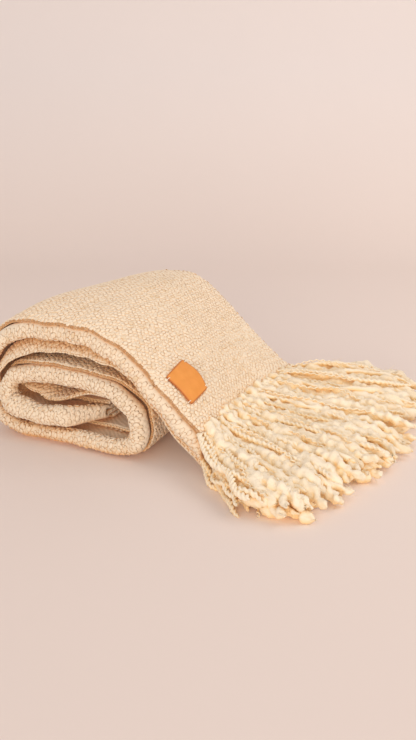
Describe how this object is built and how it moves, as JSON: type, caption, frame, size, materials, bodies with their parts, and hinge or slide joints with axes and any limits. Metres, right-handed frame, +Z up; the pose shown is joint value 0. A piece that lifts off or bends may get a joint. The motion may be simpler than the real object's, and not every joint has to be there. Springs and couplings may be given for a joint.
{
  "type": "hand-woven wool throw, folded and loosely rolled",
  "caption": "Chunky hand-woven wool throw folded in layers and rolled up, its loose end sloping down to a fanned fringe, with a bare leather patch.",
  "frame": {"origin": "on the surface the throw lies on, under the middle of its bounding box", "axes": "+X from the roll towards the tips of the fringe, +Y along the roll from the end with one rounded fold to the end with two, +Z up"},
  "size_m": [0.6362, 0.5392, 0.21],
  "materials": {
    "wool_weave": "thick undyed cream wool in a nubby plain weave, matte",
    "wool_roving": "loosely spun cream wool in thick and thin strands, matte",
    "leather": "vegetable tanned orange tan leather, smooth with a soft sheen"
  },
  "bodies": {
    "root": {"throw_cloth": "wool_weave", "fringe_comb": "wool_roving", "label_patch": "leather"}
  },
  "joints": []
}
